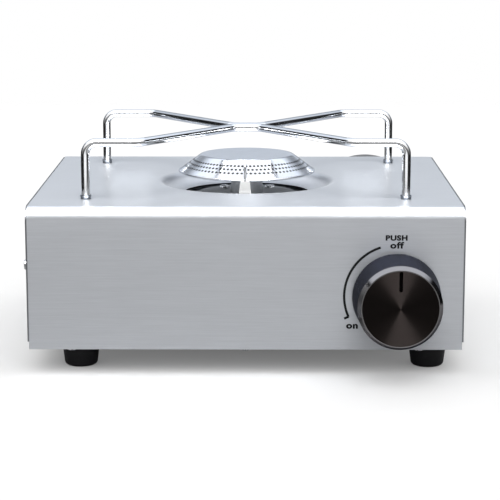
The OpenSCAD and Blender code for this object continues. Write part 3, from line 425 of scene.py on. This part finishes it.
def spun_knob_face(settings):
    """Spun and anodised aluminium of the knob's face."""
    # Rings cut round the axis fan each reflection out towards the rim and the middle.
    material, tree, shader, coords = start_material(
        "spun_anodised_aluminium", settings.knob_face, 1.0, 0.5, Anisotropic=0.98)
    radius, outward = radius_round(tree, coords, tuple(KNOB_AXIS), 1)
    pitch = 0.2 * MM
    rings = add_node(tree, "TexNoise", {"W": radius, "Scale": 1 / pitch, "Detail": 3.0},
                     noise_dimensions="1D").outputs[0]
    vary(tree, shader, rings,
         (shade_hex(settings.knob_face, 0.95), shade_hex(settings.knob_face, 1.05)), (0.48, 0.52))
    turned = add_node(tree, "VectorTransform", {0: outward}, vector_type="VECTOR",
                      convert_from="OBJECT", convert_to="WORLD")
    unit = add_node(tree, "VectorMath", {0: turned.outputs[0]}, operation="NORMALIZE")
    tree.links.new(unit.outputs[0], shader.inputs["Tangent"])
    return material


def moulded_plastic(name, dark, light):
    """Moulded acetal."""
    # Matt spark-eroded texture of about 0.2 mm.
    material, tree, shader, coords = start_material(name, dark, 0.0, 0.5)
    skin = pattern(tree, coords, (4000, 4000, 4000), 2.0)
    vary(tree, shader, skin, (dark, light), relief=(0.02 * MM, 0.4))
    return material


def moulded_rubber(name, colour):
    """Moulded nitrile rubber."""
    # Matt black with a faint bloom of dust.
    material, tree, shader, coords = start_material(
        name, colour, 0.0, 0.62, **{"Specular IOR Level": 0.25})
    dust = pattern(tree, coords, (260, 260, 260), 4.0)
    grit = pattern(tree, coords, (2500, 2500, 2500), 2.0)
    vary(tree, shader, dust, (colour, shade_hex(colour, 1.6)), (0.45, 0.6))
    vary(tree, shader, grit, relief=(0.02 * MM, 0.3))
    return material


def glazed_ceramic():
    """Glazed alumina of the electrode."""
    # White body under a clear glaze, with a faint warm cloud.
    material, tree, shader, coords = start_material(
        "glazed_alumina", "B0AFAC", 0.0, 0.22, **{"Coat Weight": 0.6})
    vary(tree, shader, pattern(tree, coords, (220, 220, 220), 3.0), ("ADACA9", "B3B2AF"))
    return material


def ferrite():
    """Sintered ferrite of the magnet ring."""
    # Dull charcoal body with a fine grain.
    material, tree, shader, coords = start_material("sintered_ferrite", "2B2B2D", 0.0, 0.55)
    vary(tree, shader, pattern(tree, coords, (900, 900, 900), 4.0), ("232325", "3A3A3C"))
    return material


def silicone_lead():
    """Silicone sleeve of the igniter lead."""
    # Smooth red rubber skin with faint clouds.
    material, tree, shader, coords = start_material("red_silicone_sleeve", "8E2A22", 0.0, 0.38)
    vary(tree, shader, pattern(tree, coords, (400, 400, 400), 3.0), ("7F241D", "9C332A"))
    return material


def screen_ink(settings):
    """Screen-printed ink."""
    # Opaque black epoxy ink, nearly matt, with the sheet's grain showing through a little.
    material, tree, shader, coords = start_material(
        "screen_printed_ink", settings.ink, 0.0, 0.5, **{"Specular IOR Level": 0.2})
    film = pattern(tree, coords, (900, 3000, 3000), 2.0)
    vary(tree, shader, film, (settings.ink, shade_hex(settings.ink, 1.5)))
    return material


# ---------------------------------------------------------------- operators

class STOVE_OT_casing(bpy.types.Operator):
    """Gives the wrap casing and the side covers their brushed stainless steel"""

    bl_idname = "stove.casing"
    bl_label = "Casing"

    def execute(self, context):
        settings = context.scene.stove_finish
        dress(brushed_stainless(settings, "brushed_stainless_sheet", 0), "wrap_casing")
        dress(brushed_stainless(settings, "brushed_stainless_cover", 1),
              "side_cover_left", "side_cover_right")
        return {"FINISHED"}


class STOVE_OT_inner_parts(bpy.types.Operator):
    """Gives the base, the cartridge bay and the gas parts their finishes"""

    bl_idname = "stove.inner_parts"
    bl_label = "Inner Parts"

    def execute(self, context):
        dress(zinc_sheet(), "base_plate", "cartridge_rails", "heat_shield", "regulator_bracket",
              "piezo_bracket", "electrode_clip", "mixing_tube", "air_shutter")
        dress(die_cast_alloy(),
              "regulator_body", "diaphragm_cap", "burner_neck", "shield_rivets")
        dress(turned_brass(), "cartridge_port", "gland_nut", "gas_jet")
        dress(dark_collar_steel(), "cartridge_collar")
        dress(ferrite(), "magnet_ring")
        dress(silicone_lead(), "igniter_lead")
        dress(moulded_plastic("natural_acetal", "DAD6C8", "E6E2D6"),
              "ignition_cam", "piezo_plunger")
        dress(moulded_plastic("black_acetal", "17171A", "232327"), "knob_hub", "piezo_body")
        return {"FINISHED"}


class STOVE_OT_fasteners(bpy.types.Operator):
    """Gives the screws, the spindle and the spark wire their plating"""

    bl_idname = "stove.fasteners"
    bl_label = "Fasteners"

    def execute(self, context):
        dress(plated_fastener("zinc_plated_screw"), "foot_screws", "base_screws", "side_screws",
              "collar_screws", "bracket_screws", "cap_screws", "burner_screws", "valve_spindle",
              "thrust_washer", "electrode_needle")
        return {"FINISHED"}


class STOVE_OT_feet(bpy.types.Operator):
    """Gives the feet and the port's seal their rubber"""

    bl_idname = "stove.feet"
    bl_label = "Feet"

    def execute(self, context):
        colour = context.scene.stove_finish.rubber
        dress(moulded_rubber("moulded_nitrile_rubber", colour), "rubber_feet", "port_seal")
        return {"FINISHED"}


class STOVE_OT_burner(bpy.types.Operator):
    """Gives the burner and its electrode their finishes"""

    bl_idname = "stove.burner"
    bl_label = "Burner"

    def execute(self, context):
        dress(burner_steel(context.scene.stove_finish), "burner_head", "burner_pan")
        dress(glazed_ceramic(), "electrode_insulator")
        return {"FINISHED"}


class STOVE_OT_trivet(bpy.types.Operator):
    """Gives the trivet its chrome and lays the weld between its two rods"""

    bl_idname = "stove.trivet"
    bl_label = "Trivet"

    def execute(self, context):
        chrome = chrome_plate("chrome_plated_rod", context.scene.stove_finish.rods, 0.08, 0.14)
        dress(chrome, "trivet_front_rod", "trivet_rear_rod")
        dress(chrome_plate("chrome_plated_socket", "8A8F96", 0.2, 0.3), "trivet_sockets")
        # The weld fills the groove under the rods' crossing
        rod_z = ROD_HIGH[2] - ROD_R
        nothing_selected()
        bpy.ops.mesh.primitive_uv_sphere_add(
            segments=32, ring_count=16, radius=1.0, location=(0, BURNER_Y, rod_z - 1.4 * MM))
        weld = bpy.context.object
        bpy.ops.object.mode_set(mode="EDIT")
        bpy.ops.mesh.select_all(action="SELECT")
        bpy.ops.transform.resize(value=(5.5 * MM, 1.3 * MM, 0.8 * MM))
        bpy.ops.mesh.subdivide(number_cuts=1, smoothness=0.6)
        bpy.ops.object.mode_set(mode="OBJECT")
        settle(weld)
        ripple = bpy.data.textures.new("weld_ripple", "WOOD")
        ripple.noise_scale = 0.8 * MM
        wave = weld.modifiers.new("ripple", "DISPLACE")
        wave.texture = ripple
        wave.strength = 0.18 * MM
        bpy.ops.object.modifier_apply(modifier="ripple")
        bpy.ops.object.shade_smooth()
        finish_piece(weld, "trivet_weld", chrome, "trivet")
        return {"FINISHED"}


class STOVE_OT_knob(bpy.types.Operator):
    """Gives the knob its anodised flank, bright bevel and spun face, and winds its coil spring"""

    bl_idname = "stove.knob"
    bl_label = "Knob"

    def execute(self, context):
        settings = context.scene.stove_finish
        dress(anodised_knob(settings), "knob_shell")
        dress(spun_knob_face(settings), "knob_face_disc")
        coil_r = (SPRING_HIGH[0] - SPRING_LOW[0]) / 2 - SPRING_WIRE_R
        nothing_selected()
        bpy.ops.mesh.primitive_circle_add(
            vertices=12, radius=SPRING_WIRE_R, fill_type="NOTHING",
            location=(KNOB_AXIS.x, SPRING_LOW[1] + SPRING_WIRE_R, KNOB_AXIS.z))
        coil = bpy.context.object
        bpy.ops.object.mode_set(mode="EDIT")
        bpy.ops.mesh.select_all(action="SELECT")
        bpy.ops.transform.translate(value=(coil_r, 0, 0))
        bpy.ops.object.mode_set(mode="OBJECT")
        turns = coil.modifiers.new("turns", "SCREW")
        turns.axis = "Y"
        turns.angle = SPRING_TURNS * 2 * math.pi
        turns.screw_offset = SPRING_HIGH[1] - SPRING_LOW[1] - 2 * SPRING_WIRE_R
        turns.steps = turns.render_steps = round(SPRING_TURNS * 32)
        turns.use_smooth_shade = True
        bpy.ops.object.modifier_apply(modifier="turns")
        # Both ends of the wire are closed
        bpy.ops.object.mode_set(mode="EDIT")
        bpy.ops.mesh.select_mode(type="EDGE")
        bpy.ops.mesh.select_all(action="DESELECT")
        bpy.ops.mesh.select_non_manifold()
        bpy.ops.mesh.fill()
        bpy.ops.mesh.select_all(action="SELECT")
        bpy.ops.mesh.normals_make_consistent(inside=False)
        bpy.ops.object.mode_set(mode="OBJECT")
        settle(coil)
        finish_piece(coil, "return_coil", plated_fastener("spring_steel_wire"),
                     "valve_stem")
        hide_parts("return_spring")
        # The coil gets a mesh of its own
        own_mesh(coil)
        return {"FINISHED"}


class STOVE_OT_print(bpy.types.Operator):
    """Prints the arc with its tick and the words round the knob"""

    bl_idname = "stove.print"
    bl_label = "Printed Marks"

    def word(self, text, size, place, weight, width, ink, height):
        """One printed word, placed from the knob's axis and fitted to its width."""
        nothing_selected()
        bpy.ops.object.text_add(
            location=KNOB_AXIS + Vector((place[0] * MM, -height / 2, place[1] * MM)),
            rotation=(math.pi / 2, 0, 0))
        obj = bpy.context.object
        obj.data.body = text
        obj.data.size = size
        obj.data.align_x = "CENTER"
        obj.data.align_y = "CENTER"
        obj.data.extrude = height / 2
        obj.data.offset = weight * MM
        obj.data.space_character = 1.12
        bpy.ops.object.convert(target="MESH")
        obj = bpy.context.object
        obj.scale.x *= width * MM / obj.dimensions.x
        settle(obj)
        finish_piece(obj, "print_" + text.lower(), ink, "body")

    def bar(self, add, angle, radius, size):
        """A flat bar of ink, laid along a spoke of the knob; returns it."""
        nothing_selected()
        spoke = Vector((math.cos(angle), 0, math.sin(angle)))
        add(size=1.0, location=KNOB_AXIS + spoke * radius - Vector((0, size[1] / 2, 0)),
            rotation=(0, -angle, 0))
        obj = bpy.context.object
        obj.scale = size
        settle(obj)
        return obj

    def execute(self, context):
        sizes = context.scene.stove_print
        ink = screen_ink(context.scene.stove_finish)
        line, height = sizes.line_width, sizes.ink_height
        # Each word's place, the weight added to its letters and its width, in millimetres
        for text, size, place, weight, width in (
                ("PUSH", sizes.push_size, (-0.2, 30.25), 0.2, 11.2),
                ("off", sizes.word_size, (-0.1, 26.4), 0.2, 7.1),
                ("on", sizes.word_size, (-22.45, -15.6), 0.24, 6.1)):
            self.word(text, size, place, weight, width, ink, height)
        # The arc is spun from a slip of ink, and its tick points away from the knob
        start, sweep = math.radians(108), math.radians(96)
        arc = self.bar(bpy.ops.mesh.primitive_plane_add, start, sizes.arc_radius,
                       (line, height, 1))
        bpy.ops.object.mode_set(mode="EDIT")
        bpy.ops.mesh.select_all(action="SELECT")
        bpy.ops.mesh.spin(steps=64, angle=sweep, center=tuple(KNOB_AXIS), axis=(0, 1, 0))
        bpy.ops.mesh.select_all(action="SELECT")
        bpy.ops.mesh.normals_make_consistent(inside=False)
        tick = self.bar(bpy.ops.mesh.primitive_cube_add, start + sweep,
                        sizes.arc_radius + 1.1 * MM, (2.6 * MM, height, line))
        nothing_selected()
        tick.select_set(True)
        arc.select_set(True)
        bpy.context.view_layer.objects.active = arc
        bpy.ops.object.join()
        finish_piece(arc, "print_arc", ink, "body")
        return {"FINISHED"}


def studio_floor_material():
    """White studio paper that stays white in the view and keeps the stove's shadow."""
    material, tree, shader, coords = start_material(
        "matt_studio_paper", "CECECE", 0.0, 0.9, **{"Specular IOR Level": 0.0})
    shader.inputs["Emission Color"].default_value = linear("FFFFFF")
    across, behind, _ = add_node(tree, "SeparateXYZ", {0: coords}).outputs
    aside = add_node(tree, "Math", {0: across}, operation="ABSOLUTE").outputs[0]
    beyond = add_node(tree, "Math", {0: behind}, operation="ABSOLUTE").outputs[0]
    vary(tree, shader, pattern(tree, coords, (3, 3, 3), 2.0), ("CCCCCC", "D0D0D0"))
    # In reflections it is grey before the stove, pale beside it and white farther out, with
    # black cards behind the stove at both sides
    glossy = add_node(tree, "LightPath").outputs["Is Glossy Ray"]
    for edges, colour in (
            ([], "7A7A7A"),
            ([(behind, -0.32, -0.2)], "A6A6A6"),
            ([(behind, -0.58, -0.66)], "F4F4F4"),
            ([(aside, 0.17, 0.22), (behind, 0.03, 0.1)], "1C1C1C")):
        refinish(tree, shader, zone(tree, (glossy, 0, 1), *edges), colour)
    # The paper glows a little to all rays but glossy ones: painted light that lifts the stove's
    # shadow on it
    painted_glow = zone(tree, (glossy, 1, 0), most=0.13)
    tree.links.new(painted_glow, shader.inputs["Emission Strength"])
    # The sheet of paper fades out at its edges, so that no line shows against the backdrop
    fade = add_node(tree, "Math", {
        0: zone(tree, (aside, 0.36, 0.48)), 1: zone(tree, (beyond, 0.9, 1.2))},
        operation="MAXIMUM")
    clear = add_node(tree, "BsdfTransparent")
    mix = add_node(tree, "MixShader", {
        0: fade.outputs[0], 1: shader.outputs[0], 2: clear.outputs[0]})
    output = next(node for node in tree.nodes if node.type == "OUTPUT_MATERIAL")
    tree.links.new(mix.outputs[0], output.inputs["Surface"])
    return material


def studio_world(scene):
    """Even white dome for matt surfaces, and a room with dark flags for reflections."""
    world = bpy.data.worlds.new("studio")
    scene.world = world
    world.use_nodes = True
    tree = world.node_tree
    tree.nodes.clear()
    direction = add_node(tree, "TexCoord").outputs["Generated"]
    across, behind, up = add_node(tree, "SeparateXYZ", {0: direction}).outputs
    aside = add_node(tree, "Math", {0: across}, operation="ABSOLUTE").outputs[0]
    rear = zone(tree, (behind, -0.3, 0.7))
    # A pale band at the horizon, strongest behind the stove
    band = zone(tree, (behind, -0.3, 0.7, 0.375), (up, 0.05, 0.14, 0.45), (up, 0.34, 0.24, 0.45),
                most=0.8)
    # The table goes on below the horizon
    table = zone(tree, (up, -0.08, -0.16), most=0.3)
    # The tent overhead starts higher behind the stove than in front of it
    lift = add_node(tree, "Math", {0: rear, 1: -0.32, 2: up}, operation="MULTIPLY_ADD").outputs[0]
    tent = zone(tree, (lift, 0.16, 0.42), most=1.1)
    # Black flags stand behind the stove at both sides, closer together below the horizon,
    # where they reach round to the front
    flags = add_node(tree, "Mix", {
        0: zone(tree, (up, 0.02, 0.1)), 2: zone(tree, (aside, 0.6, 0.45, 0.03)),
        3: zone(tree, (aside, 0.8, 0.76, 0.03))}, data_type="FLOAT").outputs[0]
    gap = zone(tree, (behind, 0.12, 0.02), (up, -0.12, -0.02))
    light = band
    for operation, value in (("ADD", table), ("ADD", tent), ("MULTIPLY", add_node(
            tree, "Math", {0: flags, 1: gap}, operation="MAXIMUM").outputs[0])):
        light = add_node(tree, "Math", {0: light, 1: value}, operation=operation).outputs[0]
    hue = add_node(tree, "Mix", {0: rear, 6: linear("FFFDFB"), 7: linear("E9F2FF")},
                   data_type="RGBA").outputs[2]
    room = add_node(tree, "Background", {"Color": hue, "Strength": light})
    # Matt surfaces are lit by an even dome, and the backdrop is white
    rays = add_node(tree, "LightPath").outputs
    dome = add_node(tree, "Background", {"Color": (1, 1, 1, 1), "Strength": 1.5})
    lit = add_node(tree, "MixShader", {
        0: rays["Is Glossy Ray"], 1: dome.outputs[0], 2: room.outputs[0]})
    backdrop = add_node(tree, "Background", {"Color": (1, 1, 1, 1), "Strength": 1.0})
    mix = add_node(tree, "MixShader", {
        0: rays["Is Camera Ray"], 1: lit.outputs[0], 2: backdrop.outputs[0]})
    add_node(tree, "OutputWorld", {"Surface": mix.outputs[0]})


class STOVE_OT_stage(bpy.types.Operator):
    """Sets the floor, the studio light and the camera"""

    bl_idname = "stove.stage"
    bl_label = "Studio Stage"

    def execute(self, context):
        nothing_selected()
        bpy.ops.mesh.primitive_plane_add(size=24, location=(0, 0, 0))
        floor = bpy.context.object
        floor.name = "studio_floor"
        floor.data.materials.append(studio_floor_material())

        # A softbox high in front that only shines in the metal
        nothing_selected()
        bpy.ops.object.light_add(type="AREA", location=(0.05, -0.55, 1.0))
        lamp = bpy.context.object
        lamp.name = "softbox_shine"
        lamp.data.shape = "RECTANGLE"
        lamp.data.size, lamp.data.size_y = 1.3, 0.8
        lamp.data.energy = 60
        aim = Vector((0.07, -0.1, 0.04)) - lamp.location
        lamp.rotation_euler = aim.to_track_quat("-Z", "Y").to_euler()
        lamp.visible_diffuse = False
        studio_world(context.scene)

        # A long lens in front and a little above, with its focal length in pixels
        picture, focal = 500, 1790
        nothing_selected()
        bpy.ops.object.camera_add(location=(0.0077, FRONT_Y - 0.8981, TOP_Z + 0.151))
        camera = bpy.context.object
        camera.name = "studio_camera"
        camera.data.sensor_width = 36
        camera.data.lens = focal / picture * camera.data.sensor_width
        camera.rotation_euler = (math.radians(90 - 10.9), 0, math.radians(0.34))
        context.scene.camera = camera
        context.scene.view_settings.view_transform = "Standard"
        return {"FINISHED"}


class STOVE_PT_finish(bpy.types.Panel):
    """Lists the stove's finishing steps and settings"""

    bl_idname = "STOVE_PT_finish"
    bl_label = "Cassette Stove"
    bl_space_type = "VIEW_3D"
    bl_region_type = "UI"
    bl_category = "Stove"

    def draw(self, context):
        column = self.layout.column()
        for settings in (context.scene.stove_finish, context.scene.stove_print):
            for name in type(settings).__annotations__:
                column.prop(settings, name)
        for step in STEPS:
            column.operator(step.bl_idname)


STEPS = (STOVE_OT_stage, STOVE_OT_casing, STOVE_OT_inner_parts, STOVE_OT_fasteners,
         STOVE_OT_feet, STOVE_OT_burner, STOVE_OT_trivet, STOVE_OT_knob, STOVE_OT_print)
CLASSES = (StoveFinish, StovePrint) + STEPS + (STOVE_PT_finish,)


def register():
    """Registers the classes and hangs the settings on the scene."""
    for item in CLASSES:
        bpy.utils.register_class(item)
    bpy.types.Scene.stove_finish = bpy.props.PointerProperty(type=StoveFinish)
    bpy.types.Scene.stove_print = bpy.props.PointerProperty(type=StovePrint)


def unregister():
    """Takes the settings and the classes away again."""
    del bpy.types.Scene.stove_print
    del bpy.types.Scene.stove_finish
    for item in reversed(CLASSES):
        bpy.utils.unregister_class(item)


def main():
    """Runs every step in order."""
    register()
    for step in STEPS:
        group, name = step.bl_idname.split(".")
        getattr(getattr(bpy.ops, group), name)()
    nothing_selected()


if __name__ == "__main__":
    main()
